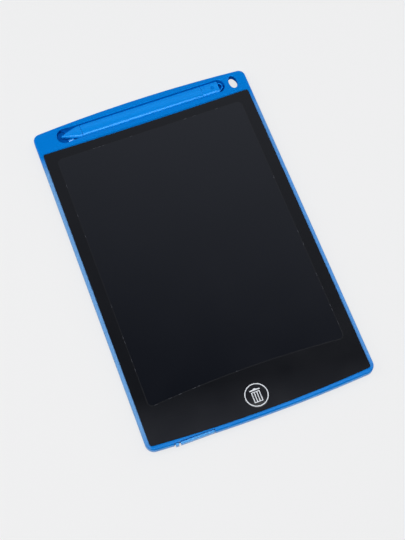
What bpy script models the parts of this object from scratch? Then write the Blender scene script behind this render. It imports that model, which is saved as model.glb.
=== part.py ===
"""LCD writing tablet with a stylus in its top bar, an erase button and a pull-out coin cell tray.

Metres, +Z up. The tablet lies on its back: X runs across it, Y towards the stylus bar, and the origin
is under the middle of the case, on the surface that it lies on.
"""

import math

import bmesh
import bpy
from mathutils import Matrix, Vector

# Clearances
seam = 0.0003
lamination = 0.00005
overrun = 0.004
fuse = 0.0004
edge_break = 0.00025

# Case outline
case_width = 0.145
case_length = 0.226
top_bow = 0.00279
bottom_bow = 0.0025
top_corner = 0.0045
bottom_corner = 0.0055
edge_round = 0.0011
foot_round = 0.0007

# Front of the case: rims round the film, and the bar over it
side_rim = 0.0023
bar_depth = 0.01826
bar_sag = 0.0006
bottom_rim = 0.0024
film_bottom_bow = 0.0027
film_corner = 0.0016
film_gap = 0.0002
bevel_width = 0.0005

# Sheets of the front, from the top down
rim_rise = 0.0003
film_thickness = 0.00025
sheet_thickness = 0.00015
tape_thickness = 0.0001
tape_width = 0.006
tail_thickness = 0.00012
lcd_side_margin = 0.0062
lcd_top_margin = 0.0045
lcd_rise = 0.0029
lcd_corner = 0.002
contact_ledge = 0.0015

# Walls of the two shells
floor_thickness = 0.0009
plate_thickness = 0.0009
thin_deck = 0.0007
frame_wall = 0.0015
bar_wall = 0.0013
bar_skin = 0.0011
tongue_rise = 0.00025
band_width = 0.003
rib_thickness = 0.001
rib_columns = 6
rib_rows = 7

# Pins that hold the shells together
pin_radius = 0.0008
pin_clearance = 0.00015
pin_rows = 6
pin_end_margin = 0.0185

# Coin cell, its tray and the latch finger beside it
cell_diameter = 0.020
cell_thickness = 0.0016
cell_wall = 0.0005
cell_floor = 0.0004
gasket_wall = 0.00035
cap_stand = 0.00015
cell_side_gap = 0.00015
cell_seat_gap = 0.0001
tray_side = 0.03065
tray_wall = 0.0004
tray_ledge = 0.0003
ledge_width = 0.00165
tray_grip = 0.0055
tray_top_drop = 0.0002
lip_inset = 0.0006
lip_thickness = 0.0014
lip_low = 0.0002
lip_drop = 0.0007
lip_gap = 0.00025
front_web = 0.0008
nail_length = 0.0124
nail_depth = 0.0005
nail_drop = 0.0009
latch_gap = 0.0012
nub_width = 0.002
latch_side_gap = 0.0007
arm_width = 0.001
arm_height = 0.0014
arm_inset = 0.0005
arm_length = 0.0101
barb_length = 0.0016
barb_setback = 0.0027
barb_clearance = 0.0001
barb_room = 0.0006
lug_length = 0.002

# Circuit board and what is on it
board_lift = 0.0003
board_thickness = 0.0008
board_rise = 0.0045
board_back_margin = 0.00085
board_reach = 0.015
guide_wall = 0.0008
bay_margin = 0.0011
contact_thickness = 0.0002
contact_gap = 0.0001
contact_width = 0.003
contact_foot = 0.004
contact_riser = 0.0005
contact_headroom = 0.0002
leaf_height = 0.0008
leaf_throw = 0.0005
leaf_half = 0.0042
screw_head_radius = 0.0014
screw_head_height = 0.0006
screw_shank_radius = 0.0006
screw_inset = 0.0022
screw_skin = 0.0003
slot_depth = 0.00025
slot_width = 0.0003
post_radius = 0.0018
tail_width = 0.008
tail_inset = 0.0119
tail_landing = 0.0035
chip_length = 0.005
chip_width = 0.004
chip_height = 0.001
inductor_side = 0.003
inductor_height = 0.0012
diode_length = 0.0026
diode_width = 0.0016
diode_height = 0.0009
capacitor_length = 0.002
capacitor_width = 0.00125
capacitor_height = 0.0008
resistor_length = 0.0016
resistor_width = 0.0008
resistor_height = 0.00045

# Erase button and the switch under it
button_x = -0.0005
button_rise = 0.0129
button_radius = 0.0079
button_gap = 0.0002
button_edge = 0.00015
flange_width = 0.001
flange_thickness = 0.0003
flange_gap = 0.00025
button_pad = 0.0001
pad_radius = 0.0014
plunger_gap = 0.00005
plunger_radius = 0.0016
plunger_clearance = 0.00015
plunger_depth = 0.00015
switch_side = 0.0052
switch_height = 0.0006

# Stylus, and the groove that it lies in
stylus_width = 0.0088
stylus_flat = 0.006
stylus_edge_drop = 0.0011
stylus_foot_drop = 0.0009
stylus_proud = 0.00025
stylus_wall = 0.0008
stylus_left_inset = 0.0175
stylus_right_inset = 0.0197
stylus_drop = 0.00935
tip_length = 0.0137
collar_length = 0.0019
nib_length = 0.003
nib_radius = 0.0009
cone_end = 0.0013
cone_bulge_share = 0.3
cap_length = 0.0116
cap_ring_offset = 0.0019
ring_width = 0.0003
ring_depth = 0.0002
spigot_length = 0.004
spigot_clearance = 0.00015
core_corner = 0.0003
dimple_inset = 0.0043
dimple_radius = 0.00125
dimple_depth = 0.0003
eyelet_radius = 0.003
eyelet_wall = 0.0008
eyelet_height = 0.0012
eyelet_drop = 0.00105
eyelet_root = 0.0006
groove_side_gap = 0.00035
groove_end_gap = 0.0011
groove_tip_gap = 0.0028
well_extra = 0.0004
well_length = 0.0037
well_floor_length = 0.0061
well_corner = 0.0028
tub_wall = 0.0009
tub_floor = 0.0007

# Lanyard hole
lanyard_side = 0.0096
lanyard_drop = 0.010
lanyard_half_x = 0.0027
lanyard_half_y = 0.0048
lanyard_boss = 0.0011

# Facets
bow_steps = 10
corner_steps = 8
round_steps = 6
cone_steps = 8
circle_steps = 64
small_circle_steps = 20
smooth_angle = 35

# Levels, from the floor up to the deck and the top
board_low = floor_thickness + board_lift
board_top = board_low + board_thickness
tray_low = floor_thickness + seam
cell_low = tray_low + tray_ledge + cell_seat_gap
cell_top = cell_low + cell_thickness
thin_deck_low = cell_top + contact_gap + contact_thickness + contact_headroom
deck_top = thin_deck_low + thin_deck
film_low = deck_top + lamination
film_top = film_low + film_thickness
case_top = film_top + rim_rise
upper_sheet_low = deck_top - sheet_thickness
lower_sheet_top = upper_sheet_low - lamination
lower_sheet_low = lower_sheet_top - sheet_thickness
tape_top = lower_sheet_low - lamination
tape_low = tape_top - tape_thickness
recess_floor = tape_low - lamination
deck_low = recess_floor - plate_thickness
rib_top = deck_low - seam
cover_wall_top = rib_top - tongue_rise
frame_low = cover_wall_top + seam
bar_ceiling = case_top - bar_skin
groove_floor = floor_thickness + seam + tub_floor
stylus_low = groove_floor + seam
stylus_high = case_top + stylus_proud

# Places that follow from the sizes
half_width = case_width / 2
top_y = case_length / 2
bottom_y = -case_length / 2
film_half = half_width - side_rim - film_gap
film_top_y = top_y - bar_depth - film_gap
film_bottom_y = bottom_y + bottom_rim + film_gap
lcd_half = half_width - side_rim - lcd_side_margin
lcd_top_y = top_y - bar_depth - lcd_top_margin
tongue_inset = frame_wall + seam
band_inset = tongue_inset + band_width
stylus_y = top_y - stylus_drop
groove_half = stylus_width / 2 + groove_side_gap
stylus_left = -half_width + stylus_left_inset
stylus_right = half_width - stylus_right_inset
lanyard_x = half_width - lanyard_side
lanyard_y = top_y - lanyard_drop
button_y = bottom_y + button_rise

tray_x = -half_width + tray_side
pocket_radius = cell_diameter / 2 + cell_side_gap
tray_half = pocket_radius + tray_wall
tray_left = tray_x - tray_half
tray_right = tray_x + tray_half
nub_right = tray_left - latch_gap
nub_left = nub_right - nub_width
bay_left = nub_left - latch_side_gap
bay_right = tray_right + seam
lip_face_y = bottom_y + lip_inset
lip_back_y = lip_face_y + lip_thickness
notch_y = lip_back_y + lip_gap
lip_high = case_top - lip_drop
cell_y = lip_back_y + front_web + pocket_radius
arm_right = nub_right - arm_inset
arm_left = arm_right - arm_width
arm_root_y = lip_back_y + arm_length
barb_left = bay_left + barb_clearance
barb_front_y = lip_back_y + barb_setback
leaf_touch_y = cell_y + cell_diameter / 2 + contact_gap + contact_thickness / 2
leaf_back_y = leaf_touch_y + leaf_throw

board_left = bay_right + guide_wall + seam
board_right = button_x + board_reach
board_front_y = bottom_y + board_rise
board_back_y = leaf_back_y + board_back_margin
board_depth = board_back_y - board_front_y
bay_front_y = board_front_y - bay_margin
bay_back_y = board_back_y + bay_margin
bay_far_x = board_right + bay_margin
tail_x = board_left + tail_inset
tail_bend_y = board_back_y + bay_margin / 2
lcd_bottom_y = bay_back_y + lcd_rise
ledge_bottom_y = lcd_bottom_y - contact_ledge

# Finishes: colour, roughness and metallic value
BLUE_ABS = ((0.0, 0.17, 0.61, 1.0), 0.4, 0.0)
STYLUS_ABS = ((0.0, 0.25, 0.77, 1.0), 0.35, 0.0)
FILM_BLACK = ((0.012, 0.013, 0.016, 1.0), 0.12, 0.0)
LCD_DARK = ((0.01, 0.012, 0.014, 1.0), 0.25, 0.0)
TAPE_WHITE = ((0.75, 0.75, 0.72, 1.0), 0.7, 0.0)
NYLON_WHITE = ((0.7, 0.7, 0.66, 1.0), 0.45, 0.0)
POLYIMIDE = ((0.45, 0.16, 0.02, 1.0), 0.35, 0.0)
BOARD_GREEN = ((0.01, 0.13, 0.05, 1.0), 0.35, 0.0)
CHIP_BLACK = ((0.02, 0.02, 0.022, 1.0), 0.45, 0.0)
CERAMIC = ((0.42, 0.30, 0.18, 1.0), 0.4, 0.0)
STEEL = ((0.62, 0.62, 0.60, 1.0), 0.27, 1.0)
GASKET_GREY = ((0.25, 0.25, 0.26, 1.0), 0.6, 0.0)

# Middle of each small part on the board, as shares of its length and depth from the front left corner
BOARD_PLACE_SHARES = {
    "driver_chip": (0.225, 0.275),
    "boost_inductor": (0.19, 0.625),
    "boost_diode": (0.37, 0.2),
    "capacitor_1": (0.37, 0.4),
    "capacitor_2": (0.37, 0.575),
    "resistor_1": (0.89, 0.3),
    "resistor_2": (0.89, 0.45),
}

# Rounded nib from its point into the tip, as shares of its length and radius
NIB_PROFILE_SHARES = ((0.0, 0.45), (0.15, 0.85), (0.4, 1.0), (1.2, 1.0))


def material(name, colour, roughness, metallic):
    made = bpy.data.materials.new(name)
    made.use_nodes = True
    shader = made.node_tree.nodes["Principled BSDF"]
    shader.inputs["Base Color"].default_value = colour
    shader.inputs["Roughness"].default_value = roughness
    shader.inputs["Metallic"].default_value = metallic
    return made


def finish_object(name, bm, look=None):
    """Turns a bmesh into an object, with its faces pointing out. Without a look it is a cutter."""
    bmesh.ops.recalc_face_normals(bm, faces=bm.faces)
    mesh = bpy.data.meshes.new(name)
    bm.to_mesh(mesh)
    bm.free()
    obj = bpy.data.objects.new(name, mesh)
    bpy.context.scene.collection.objects.link(obj)
    if look is None:
        obj.hide_render = True
        obj.display_type = "WIRE"
    else:
        mesh.materials.append(material(name, *look))
    return obj


def add_loft(bm, loops):
    """Skins closed loops of equal length, and caps the first and the last."""
    rings = [[bm.verts.new(point) for point in loop] for loop in loops]
    count = len(rings[0])
    for low, high in zip(rings, rings[1:]):
        for i in range(count):
            j = (i + 1) % count
            bm.faces.new((low[i], low[j], high[j], high[i]))
    bm.faces.new(rings[0])
    bm.faces.new(rings[-1])


def loft(name, loops, look=None):
    bm = bmesh.new()
    add_loft(bm, loops)
    return finish_object(name, bm, look)


def flat_loops(levels):
    """Loops in space from (outline, height) pairs."""
    return [[(x, y, z) for x, y in outline] for outline, z in levels]


def prism(name, outline, low, high, look=None):
    return loft(name, flat_loops([(outline, low), (outline, high)]), look)


def rectangle(left, right, front, back):
    return [(left, front), (right, front), (right, back), (left, back)]


def box(name, left, right, front, back, low, high, look=None):
    return prism(name, rectangle(left, right, front, back), low, high, look)


def boxes(name, blocks):
    """Several separate boxes in one cutter."""
    bm = bmesh.new()
    for left, right, front, back, low, high in blocks:
        outline = rectangle(left, right, front, back)
        add_loft(bm, flat_loops([(outline, low), (outline, high)]))
    return finish_object(name, bm)


def arc(centre_x, centre_y, radius, start, end, steps):
    points = []
    for i in range(steps + 1):
        angle = start + (end - start) * i / steps
        points.append((centre_x + radius * math.cos(angle), centre_y + radius * math.sin(angle)))
    return points


def circle(centre_x, centre_y, radius, steps=circle_steps):
    return arc(centre_x, centre_y, radius, 0, 2 * math.pi, steps)[:-1]


def ellipse(centre_x, centre_y, half_x, half_y, steps=circle_steps):
    return [(centre_x + half_x * x, centre_y + half_y * y) for x, y in circle(0, 0, 1, steps)]


def rounded_box(left, right, front, back, radius):
    corners = (
        (right - radius, front + radius, -math.pi / 2),
        (right - radius, back - radius, 0),
        (left + radius, back - radius, math.pi / 2),
        (left + radius, front + radius, math.pi),
    )
    points = []
    for x, y, start in corners:
        points += arc(x, y, radius, start, start + math.pi / 2, corner_steps)
    return points


def bowed_quarter(half, middle, bow, radius, side, grow):
    """Right-hand corner and half edge of a bowed end, from the side to the middle line.

    A positive bow puts the corners nearer to the centre than the middle is.
    """
    bend = math.copysign(1, bow)
    sweep = (half * half + bow * bow) / (2 * abs(bow))
    centre = side * middle - bend * sweep
    corner_x = half - radius
    reach = sweep - bend * radius
    corner_y = centre + bend * math.sqrt(reach * reach - corner_x * corner_x)
    turn = math.atan2(bend * (corner_y - centre), bend * corner_x)
    points = arc(corner_x, corner_y, radius + grow, 0, turn, corner_steps)
    edge = sweep + bend * grow
    start_x = points[-1][0]
    for i in range(1, bow_steps + 1):
        x = start_x * (1 - i / bow_steps)
        points.append((x, centre + bend * math.sqrt(edge * edge - x * x)))
    return [(x, side * y) for x, y in points]


def bowed_panel(half, back, back_bow, back_radius, front, front_bow, front_radius, grow=0):
    """Outline of a panel with straight sides and bowed ends, grown outwards by an even distance."""
    upper = bowed_quarter(half, back, back_bow, back_radius, 1, grow)
    lower = bowed_quarter(half, front, front_bow, front_radius, -1, grow)
    points = list(upper)
    points += [(-x, y) for x, y in reversed(upper[:-1])]
    points += [(-x, y) for x, y in lower]
    points += list(reversed(lower[:-1]))
    return points


def case_outline(inset=0):
    return bowed_panel(
        half_width, top_y, top_bow, top_corner, bottom_y, bottom_bow, bottom_corner, -inset
    )


def film_outline(grow=0):
    return bowed_panel(
        film_half, film_top_y, -bar_sag, film_corner, film_bottom_y, film_bottom_bow, film_corner, grow
    )


def groove_outline(grow=0):
    """The stylus groove seen from above, with the wider finger well at its left end."""
    well_half = groove_half + well_extra + grow
    half = groove_half + grow
    well_x = stylus_left - groove_tip_gap + groove_half + well_extra
    step_x = well_x + well_length + grow
    end_x = stylus_right + eyelet_radius + groove_end_gap - groove_half
    points = arc(well_x, stylus_y, well_half, math.pi / 2, 3 * math.pi / 2, 2 * corner_steps)
    points += [(step_x, stylus_y - well_half), (step_x, stylus_y - half)]
    points += arc(end_x, stylus_y, half, -math.pi / 2, math.pi / 2, 2 * corner_steps)
    points += [(step_x, stylus_y + half), (step_x, stylus_y + well_half)]
    return points


def cut(obj, cutter):
    change = obj.modifiers.new("cut_" + cutter.name, "BOOLEAN")
    change.operation = "DIFFERENCE"
    change.object = cutter


def join(obj, other):
    change = obj.modifiers.new("join_" + other.name, "BOOLEAN")
    change.operation = "UNION"
    change.object = other


def pin_places():
    places = []
    for side in (-1, 1):
        for row in range(pin_rows):
            span = (top_y - bar_depth - pin_end_margin / 2) - (bottom_y + pin_end_margin)
            y = bottom_y + pin_end_margin + span * row / (pin_rows - 1)
            places.append((side * (half_width - tongue_inset - band_width / 2), y))
    return places


def screw_places():
    return (
        (board_left + screw_inset, board_front_y + screw_inset),
        (board_right - screw_inset, board_back_y - screw_inset),
    )


def cylinders(name, places, radius, low, high):
    bm = bmesh.new()
    for x, y in places:
        outline = circle(x, y, radius, small_circle_steps)
        add_loft(bm, flat_loops([(outline, low), (outline, high)]))
    return finish_object(name, bm)


def front_frame():
    rounding = []
    for i in range(round_steps + 1):
        angle = math.pi / 2 * i / round_steps
        inset = edge_round * (1 - math.cos(angle))
        rounding.append((case_outline(inset), case_top - edge_round + edge_round * math.sin(angle)))
    frame = loft(
        "front_frame", flat_loops([(case_outline(), frame_low)] + rounding), BLUE_ABS
    )

    above = case_top + overrun
    below = floor_thickness
    pocket = [
        (film_outline(film_gap), deck_top),
        (film_outline(film_gap), film_top),
        (film_outline(film_gap + bevel_width), case_top),
        (film_outline(film_gap + bevel_width), above),
    ]
    cut(frame, loft("film_pocket_cutter", flat_loops(pocket)))
    recess = rounded_box(
        -lcd_half - seam, lcd_half + seam, ledge_bottom_y - seam, lcd_top_y + seam, lcd_corner
    )
    cut(frame, prism("lcd_recess_cutter", recess, recess_floor, above))
    cut(frame, prism("frame_hollow_cutter", case_outline(frame_wall), below, deck_low))
    bar_hollow = bowed_panel(
        half_width - frame_wall, top_y - frame_wall, top_bow, top_corner - frame_wall,
        top_y - bar_depth + bar_wall, bar_sag, top_corner - frame_wall,
    )
    cut(frame, prism("bar_hollow_cutter", bar_hollow, below, bar_ceiling))
    bay = rectangle(bay_left - barb_room, bay_far_x, bay_front_y, bay_back_y)
    cut(frame, prism("frame_bay_cutter", bay, below, thin_deck_low))
    tray_way = rectangle(bay_left, bay_right, bottom_y - overrun, bay_front_y + fuse)
    cut(frame, prism("frame_tray_way_cutter", tray_way, below, thin_deck_low))
    notch = rectangle(bay_left, bay_right, bottom_y - overrun, notch_y)
    cut(frame, prism("frame_notch_cutter", notch, below, above))
    slot = rectangle(
        tail_x - tail_width / 2 - seam, tail_x + tail_width / 2 + seam,
        tail_bend_y - seam - tail_thickness, lcd_bottom_y - seam - lamination,
    )
    cut(frame, prism("tail_slot_cutter", slot, below, above))

    tub = groove_outline(tub_wall)
    tub_low = floor_thickness + seam
    join(frame, prism("groove_tub", tub, tub_low, bar_ceiling + fuse))
    boss = ellipse(
        lanyard_x, lanyard_y, lanyard_half_x + lanyard_boss, lanyard_half_y + lanyard_boss
    )
    join(frame, prism("lanyard_boss", boss, deck_low, bar_ceiling + fuse))
    groove = [
        (groove_outline(), tub_low + tub_floor),
        (groove_outline(), case_top - edge_break),
        (groove_outline(edge_break), case_top),
        (groove_outline(edge_break), above),
    ]
    cut(frame, loft("groove_cutter", flat_loops(groove)))
    well_x = stylus_left - groove_tip_gap
    well_half = groove_half + well_extra
    well = rounded_box(
        well_x, well_x + well_floor_length, stylus_y - well_half, stylus_y + well_half, well_corner
    )
    cut(frame, prism("well_cutter", well, below, tub_low + tub_floor + fuse))
    cut(frame, lanyard_cutter("frame_lanyard_cutter"))
    hole = circle(button_x, button_y, button_radius + button_gap)
    cut(frame, prism("frame_button_cutter", hole, below, above))
    join(frame, cylinders("frame_pins", pin_places(), pin_radius, floor_thickness + seam, deck_low + fuse))
    return frame


def lanyard_cutter(name):
    hole = ellipse(lanyard_x, lanyard_y, lanyard_half_x, lanyard_half_y)
    eased = ellipse(
        lanyard_x, lanyard_y, lanyard_half_x + edge_break, lanyard_half_y + edge_break
    )
    levels = [
        (eased, -overrun),
        (eased, 0),
        (hole, edge_break),
        (hole, case_top - edge_break),
        (eased, case_top),
        (eased, case_top + overrun),
    ]
    return loft(name, flat_loops(levels))


def rib_cells():
    """The open cells between the ribs behind the screen."""
    left = -half_width + band_inset
    front = bay_back_y + rib_thickness
    back = top_y - bar_depth - rib_thickness
    pitch_x = (2 * -left + rib_thickness) / rib_columns
    pitch_y = (back - front + rib_thickness) / rib_rows
    blocks = []
    for column in range(rib_columns):
        for row in range(rib_rows):
            x = left + pitch_x * column
            y = front + pitch_y * row
            blocks.append(
                (x, x + pitch_x - rib_thickness, y, y + pitch_y - rib_thickness,
                 floor_thickness, case_top)
            )
    return blocks


def back_cover():
    rounding = []
    for i in range(round_steps + 1):
        angle = math.pi / 2 * i / round_steps
        inset = foot_round * (1 - math.sin(angle))
        rounding.append((case_outline(inset), foot_round * (1 - math.cos(angle))))
    levels = rounding + [
        (case_outline(), cover_wall_top),
        (case_outline(tongue_inset), cover_wall_top),
        (case_outline(tongue_inset), rib_top),
    ]
    cover = loft("back_cover", flat_loops(levels), BLUE_ABS)

    side_front = bottom_y + bottom_rim + bottom_corner
    side_blocks = [
        (-half_width + band_inset, bay_left - barb_room - rib_thickness, side_front,
         bay_back_y, floor_thickness, case_top),
        (bay_far_x + rib_thickness, half_width - band_inset, side_front,
         bay_back_y, floor_thickness, case_top),
    ]
    cut(cover, boxes("rib_cell_cutter", rib_cells() + side_blocks))
    tub = groove_outline(tub_wall + seam)
    cut(cover, prism("tub_room_cutter", tub, floor_thickness, case_top))
    bay_blocks = [
        (bay_left, bay_right, bottom_y - overrun, bay_back_y, floor_thickness, case_top),
        (board_left - seam, bay_far_x, bay_front_y, bay_back_y, floor_thickness, case_top),
    ]
    cut(cover, boxes("bay_cutter", bay_blocks))
    window_front = cell_y + cell_diameter / 2 - contact_width / 2
    cut(cover, box(
        "contact_window_cutter", bay_right - fuse, board_left + fuse, window_front, bay_back_y,
        floor_thickness, case_top,
    ))
    cut(cover, box(
        "latch_window_cutter", bay_left - barb_room, bay_left + fuse, barb_front_y - seam,
        barb_front_y + barb_length + seam, floor_thickness, case_top,
    ))
    cut(cover, box(
        "cover_notch_cutter", bay_left, bay_right, bottom_y - overrun, notch_y, -overrun, case_top
    ))
    join(cover, cylinders(
        "board_posts", screw_places(), post_radius, floor_thickness - fuse, board_low - lamination
    ))
    cut(cover, cylinders(
        "screw_hole_cutter", screw_places(), screw_shank_radius + lamination, screw_skin, case_top
    ))
    cut(cover, cylinders(
        "pin_socket_cutter", pin_places(), pin_radius + pin_clearance, floor_thickness, case_top
    ))
    cut(cover, lanyard_cutter("cover_lanyard_cutter"))
    return cover


def sheets():
    film = prism("cover_film", film_outline(), film_low, film_top, FILM_BLACK)
    hole = circle(button_x, button_y, button_radius + button_gap)
    cut(film, prism("film_button_cutter", hole, film_low - overrun, film_top + overrun))

    upper = rounded_box(-lcd_half, lcd_half, ledge_bottom_y, lcd_top_y, lcd_corner)
    prism("lcd_upper_sheet", upper, upper_sheet_low, deck_top, LCD_DARK)
    lower = rounded_box(-lcd_half, lcd_half, lcd_bottom_y, lcd_top_y, lcd_corner)
    prism("lcd_lower_sheet", lower, lower_sheet_low, lower_sheet_top, LCD_DARK)

    tape = prism("lcd_mounting_tape", lower, tape_low, tape_top, TAPE_WHITE)
    inner = rounded_box(
        -lcd_half + tape_width, lcd_half - tape_width,
        lcd_bottom_y + tape_width, lcd_top_y - tape_width, lcd_corner,
    )
    cut(tape, prism("tape_window_cutter", inner, tape_low - overrun, tape_top + overrun))


def offset_strip(points, thickness):
    """Closed outline of a strip of even thickness along a line of points."""
    half = thickness / 2
    left, right = [], []
    for i, (x, y) in enumerate(points):
        before = points[max(i - 1, 0)]
        after = points[min(i + 1, len(points) - 1)]
        first = (x - before[0], y - before[1]) if i else (after[0] - x, after[1] - y)
        second = (after[0] - x, after[1] - y) if i < len(points) - 1 else first
        first = [part / math.hypot(*first) for part in first]
        second = [part / math.hypot(*second) for part in second]
        mitre = (first[0] + second[0], first[1] + second[1])
        along = [part / math.hypot(*mitre) for part in mitre]
        reach = half / (along[0] * first[0] + along[1] * first[1])
        left.append((x - along[1] * reach, y + along[0] * reach))
        right.append((x + along[1] * reach, y - along[0] * reach))
    return left + right[::-1]


def lcd_tail():
    """Flexible strip from the screen's contact ledge, down through the deck, onto the board."""
    high = lower_sheet_top - tail_thickness / 2
    low = board_top + lamination + tail_thickness / 2
    path = [
        (lcd_bottom_y - seam, high),
        (tail_bend_y + seam, high),
        (tail_bend_y, high - seam),
        (tail_bend_y, low + seam),
        (tail_bend_y - seam, low),
        (board_back_y - tail_landing, low),
    ]
    outline = offset_strip(path, tail_thickness)
    loops = [[(x, y, z) for y, z in outline] for x in (tail_x - tail_width / 2, tail_x + tail_width / 2)]
    loft("lcd_tail", loops, POLYIMIDE)


def circuit_board():
    board = box(
        "circuit_board", board_left, board_right, board_front_y, board_back_y, board_low, board_top,
        BOARD_GREEN,
    )
    cut(board, cylinders(
        "board_hole_cutter", screw_places(), screw_shank_radius + pin_clearance, board_low - seam,
        board_top + seam,
    ))
    parts = (
        ("driver_chip", chip_length, chip_width, chip_height, CHIP_BLACK),
        ("boost_inductor", inductor_side, inductor_side, inductor_height, CHIP_BLACK),
        ("boost_diode", diode_length, diode_width, diode_height, CHIP_BLACK),
        ("capacitor_1", capacitor_length, capacitor_width, capacitor_height, CERAMIC),
        ("capacitor_2", capacitor_length, capacitor_width, capacitor_height, CERAMIC),
        ("resistor_1", resistor_length, resistor_width, resistor_height, CHIP_BLACK),
        ("resistor_2", resistor_length, resistor_width, resistor_height, CHIP_BLACK),
    )
    low = board_top + lamination
    for name, length, width, height, look in parts:
        along_share, across_share = BOARD_PLACE_SHARES[name]
        x = board_left + (board_right - board_left) * along_share
        y = board_front_y + board_depth * across_share
        box(name, x - length / 2, x + length / 2, y - width / 2, y + width / 2, low, low + height, look)


def board_screws():
    for number, (x, y) in enumerate(screw_places(), 1):
        head_low = board_top + lamination
        shank = circle(x, y, screw_shank_radius, small_circle_steps)
        head = circle(x, y, screw_head_radius, small_circle_steps)
        head_top = head_low + screw_head_height
        levels = [(shank, screw_skin + lamination), (shank, head_low), (head, head_low), (head, head_top)]
        screw = loft("board_screw_%d" % number, flat_loops(levels), STEEL)
        arms = [
            (x - screw_head_radius / 2, x + screw_head_radius / 2, y - slot_width / 2, y + slot_width / 2),
            (x - slot_width / 2, x + slot_width / 2, y - screw_head_radius / 2, y + screw_head_radius / 2),
        ]
        for arm_number, arm in enumerate(arms, 1):
            cut(screw, box(
                "screw_%d_cross_%d_cutter" % (number, arm_number), *arm, head_top - slot_depth,
                head_top + overrun,
            ))


def battery_contacts():
    low = board_top + lamination + contact_thickness / 2
    high = cell_top + contact_gap + contact_thickness / 2
    riser_x = board_left + contact_riser
    path = [
        (board_left + contact_foot, low),
        (riser_x + contact_riser, low),
        (riser_x, high),
        (tray_x, high),
    ]
    outline = offset_strip(path, contact_thickness)
    sides = (cell_y - contact_width / 2, cell_y + contact_width / 2)
    loft("negative_contact", [[(x, y, z) for x, z in outline] for y in sides], STEEL)

    path = [
        (board_left + contact_foot, leaf_back_y),
        (tray_x + leaf_half, leaf_back_y),
        (tray_x, leaf_touch_y),
        (tray_x - leaf_half, leaf_back_y),
    ]
    outline = offset_strip(path, contact_thickness)
    leaf_low = board_top + lamination
    prism("positive_contact", outline, leaf_low, leaf_low + leaf_height, STEEL)


def coin_cell():
    """The can is open upwards, and the cap sits in it inside the gasket."""
    radius = cell_diameter / 2
    can_inner = radius - cell_wall
    gasket_outer = can_inner - lamination
    gasket_inner = gasket_outer - gasket_wall
    cap_radius = gasket_inner - lamination
    can_top = cell_top - cap_stand
    hollow_low = cell_low + cell_floor
    can = prism("cell_can", circle(tray_x, cell_y, radius), cell_low, can_top, STEEL)
    cut(can, prism("can_cutter", circle(tray_x, cell_y, can_inner), hollow_low, cell_top + overrun))

    gasket_low = hollow_low + lamination
    gasket = prism(
        "cell_gasket", circle(tray_x, cell_y, gasket_outer), gasket_low, can_top, GASKET_GREY
    )
    bore = circle(tray_x, cell_y, gasket_inner)
    cut(gasket, prism("gasket_cutter", bore, cell_low, cell_top + overrun))
    prism("cell_cap", circle(tray_x, cell_y, cap_radius), gasket_low, cell_top, STEEL)


def battery_tray():
    grip_y = cell_y + tray_grip
    tray_top = cell_top - tray_top_drop
    tray = box(
        "battery_tray", tray_left, tray_right, lip_back_y - fuse, grip_y, tray_low, tray_top,
        STYLUS_ABS,
    )
    lug_low_y = arm_root_y + seam
    join(tray, box(
        "tray_lug", arm_left - arm_inset, tray_left + fuse, lug_low_y, lug_low_y + lug_length,
        tray_low, tray_low + arm_height,
    ))
    join(tray, box("tray_lip", tray_left, tray_right, lip_face_y, lip_back_y, lip_low, lip_high))
    pocket = circle(tray_x, cell_y, pocket_radius)
    cut(tray, prism("cell_pocket_cutter", pocket, tray_low + tray_ledge, lip_high))
    opening = circle(tray_x, cell_y, pocket_radius - ledge_width)
    cut(tray, prism("cell_opening_cutter", opening, -overrun, lip_high))
    nail = [
        (tray_left - fuse, lip_back_y + fuse),
        (tray_left - fuse, lip_back_y - nail_depth),
        (tray_left + nail_length, lip_back_y + fuse),
    ]
    cut(tray, prism("nail_slot_cutter", nail, lip_high - nail_drop, lip_high + overrun))
    return tray


def tray_latch():
    """Pinch finger beside the tray. Its root is on the hinge line, at the end of its arm."""
    latch = box(
        "tray_latch", nub_left, nub_right, lip_face_y, lip_back_y, lip_low, lip_high, STYLUS_ABS
    )
    arm_top = tray_low + arm_height
    join(latch, box(
        "latch_arm", arm_left, arm_right, lip_back_y - fuse, arm_root_y, tray_low, arm_top
    ))
    barb = [
        (arm_left + fuse, barb_front_y),
        (barb_left, barb_front_y),
        (arm_left + fuse, barb_front_y + barb_length),
    ]
    join(latch, prism("latch_barb", barb, tray_low, arm_top))
    return latch


def erase_button():
    """Push zone of the front, with a flange that keeps it in the deck and a pad over the switch."""
    flange_top = thin_deck_low - flange_gap
    flange_low = flange_top - flange_thickness
    body = circle(button_x, button_y, button_radius)
    eased = circle(button_x, button_y, button_radius - button_edge)
    flange = circle(button_x, button_y, button_radius + flange_width)
    pad = circle(button_x, button_y, pad_radius)
    levels = [
        (pad, flange_low - button_pad),
        (pad, flange_low),
        (flange, flange_low),
        (flange, flange_top),
        (body, flange_top),
        (body, film_top - button_edge),
        (eased, film_top),
    ]
    loft("erase_button", flat_loops(levels), FILM_BLACK)

    switch_low = board_top + lamination
    switch_top = switch_low + switch_height
    half = switch_side / 2
    switch = box(
        "switch_body", button_x - half, button_x + half, button_y - half, button_y + half,
        switch_low, switch_top, CHIP_BLACK,
    )
    bore = circle(button_x, button_y, plunger_radius + plunger_clearance, small_circle_steps)
    cut(switch, prism("switch_bore_cutter", bore, switch_low - seam, switch_top + seam))
    plunger = circle(button_x, button_y, plunger_radius, small_circle_steps)
    prism(
        "switch_plunger", plunger, switch_top - plunger_depth,
        flange_low - button_pad - plunger_gap, NYLON_WHITE,
    )


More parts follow.
